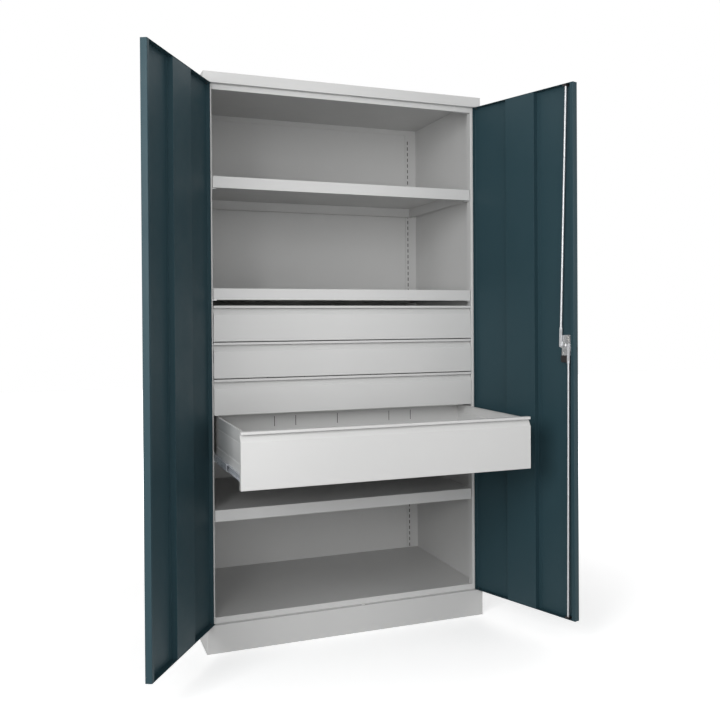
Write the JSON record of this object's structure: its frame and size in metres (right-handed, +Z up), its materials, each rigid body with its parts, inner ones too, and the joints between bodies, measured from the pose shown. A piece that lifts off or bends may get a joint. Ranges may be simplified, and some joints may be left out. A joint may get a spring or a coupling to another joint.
{
  "type": "storage cabinet with drawers",
  "caption": "Tall steel cabinet with two hinged doors held by a rod lock, open shelves above and below, and wide drawers on telescopic runners.",
  "frame": {"origin": "on the floor, at the centre of the cabinet body's footprint", "axes": "+X to the viewer's right of the open front, +Y to the back, +Z up; the doors and the lowest drawer stand open at rest, as in the picture"},
  "size_m": [1.4094, 1.1403, 1.95],
  "materials": {
    "body_paint": "light grey powder coat, satin",
    "door_paint": "dark blue-green powder coat, satin",
    "zinc": "bright zinc plate",
    "dull_zinc": "dull zinc plate",
    "black_plastic": "moulded plastic, matt",
    "black_metal": "die-cast metal, black powder coat",
    "nickel": "nickel plate"
  },
  "bodies": {
    "cabinet": {"plinth": "body_paint", "side_panel_right": "body_paint", "side_panel_left": "body_paint", "back_panel": "body_paint", "top_cover": "body_paint", "front_post_right": "body_paint", "front_post_left": "body_paint", "top_rail": "body_paint", "base_shelf": "body_paint", "rear_strip_right": "body_paint", "rear_strip_left": "body_paint", "rear_band": "body_paint", "hinge_pins": "zinc", "shelf_1": "body_paint", "shelf_2": "body_paint", "shelf_3": "body_paint", "shelf_clips_1": "zinc", "shelf_clips_2": "zinc", "shelf_clips_3": "zinc", "cabinet_rails_1": "zinc", "cabinet_rails_2": "zinc", "cabinet_rails_3": "zinc", "cabinet_rails_4": "zinc", "runner_brackets_1": "body_paint", "runner_brackets_2": "body_paint", "runner_brackets_3": "body_paint", "runner_brackets_4": "body_paint"},
    "left_door": {"left_door_panel": "door_paint", "left_door_stiffener": "door_paint"},
    "right_door": {"right_door_panel": "door_paint", "right_door_stiffener": "door_paint", "lock_case": "zinc", "lock_cover": "black_plastic", "rod_guides": "black_plastic", "handle_plate": "black_plastic"},
    "handle": {"handle": "black_metal", "lock_cam": "zinc"},
    "key_cylinder": {"key_cylinder": "nickel"},
    "upper_rod": {"upper_rod": "zinc"},
    "lower_rod": {"lower_rod": "dull_zinc"},
    "side_bolt": {"side_bolt": "zinc"},
    "drawer_1": {"drawer_1_front": "body_paint", "drawer_1_tray": "body_paint", "drawer_1_rails": "zinc"},
    "middle_rails_1": {"middle_rails_1": "zinc"},
    "drawer_2": {"drawer_2_front": "body_paint", "drawer_2_tray": "body_paint", "drawer_2_rails": "zinc"},
    "middle_rails_2": {"middle_rails_2": "zinc"},
    "drawer_3": {"drawer_3_front": "body_paint", "drawer_3_tray": "body_paint", "drawer_3_rails": "zinc"},
    "middle_rails_3": {"middle_rails_3": "zinc"},
    "drawer_4": {"drawer_4_front": "body_paint", "drawer_4_tray": "body_paint", "drawer_4_rails": "zinc"},
    "middle_rails_4": {"middle_rails_4": "zinc"}
  },
  "joints": [
    {"name": "left_door_hinge", "type": "hinge", "parent": "cabinet", "child": "left_door", "pos_m": [-0.497, -0.328, 1.0045], "axis": [0, 0, -1], "range_deg": [-29.2, 0.8]},
    {"name": "right_door_hinge", "type": "hinge", "parent": "cabinet", "child": "right_door", "pos_m": [0.497, -0.328, 1.0045], "axis": [0, 0, 1], "range_deg": [-17.1, 12.9]},
    {"name": "handle_turn", "type": "hinge", "parent": "right_door", "child": "handle", "pos_m": [0.63454, -0.75127, 1.027], "axis": [0.9558, 0.294, 0], "range_deg": [0, 90]},
    {"name": "key_turn", "type": "hinge", "parent": "right_door", "child": "key_cylinder", "pos_m": [0.63454, -0.75127, 0.979], "axis": [0.9558, 0.294, 0], "range_deg": [0, 90]},
    {"name": "upper_rod_slide", "type": "slide", "parent": "right_door", "child": "upper_rod", "axis": [0, 0, 1], "range_m": [0, 0.018]},
    {"name": "lower_rod_slide", "type": "slide", "parent": "right_door", "child": "lower_rod", "axis": [0, 0, -1], "range_m": [0, 0.018]},
    {"name": "side_bolt_slide", "type": "slide", "parent": "right_door", "child": "side_bolt", "axis": [0.294, -0.9558, 0], "range_m": [0, 0.012]},
    {"name": "drawer_1_slide", "type": "slide", "parent": "cabinet", "child": "drawer_1", "axis": [0, -1, 0], "range_m": [0, 0.5]},
    {"name": "middle_rails_1_slide", "type": "slide", "parent": "cabinet", "child": "middle_rails_1", "axis": [0, -1, 0], "range_m": [0, 0.25]},
    {"name": "drawer_2_slide", "type": "slide", "parent": "cabinet", "child": "drawer_2", "axis": [0, -1, 0], "range_m": [0, 0.5]},
    {"name": "middle_rails_2_slide", "type": "slide", "parent": "cabinet", "child": "middle_rails_2", "axis": [0, -1, 0], "range_m": [0, 0.25]},
    {"name": "drawer_3_slide", "type": "slide", "parent": "cabinet", "child": "drawer_3", "axis": [0, -1, 0], "range_m": [0, 0.5]},
    {"name": "middle_rails_3_slide", "type": "slide", "parent": "cabinet", "child": "middle_rails_3", "axis": [0, -1, 0], "range_m": [0, 0.25]},
    {"name": "drawer_4_slide", "type": "slide", "parent": "cabinet", "child": "drawer_4", "axis": [0, -1, 0], "range_m": [-0.467, 0.033]},
    {"name": "middle_rails_4_slide", "type": "slide", "parent": "cabinet", "child": "middle_rails_4", "axis": [0, -1, 0], "range_m": [-0.2335, 0.0165]}
  ],
  "couplings": [
    {"joint": "upper_rod_slide", "follows": "handle_turn", "m_per_rad": 0.011459},
    {"joint": "lower_rod_slide", "follows": "handle_turn", "m_per_rad": 0.011459},
    {"joint": "side_bolt_slide", "follows": "handle_turn", "m_per_rad": 0.0076393},
    {"joint": "middle_rails_1_slide", "follows": "drawer_1_slide", "ratio": 0.5},
    {"joint": "middle_rails_2_slide", "follows": "drawer_2_slide", "ratio": 0.5},
    {"joint": "middle_rails_3_slide", "follows": "drawer_3_slide", "ratio": 0.5},
    {"joint": "middle_rails_4_slide", "follows": "drawer_4_slide", "ratio": 0.5}
  ]
}
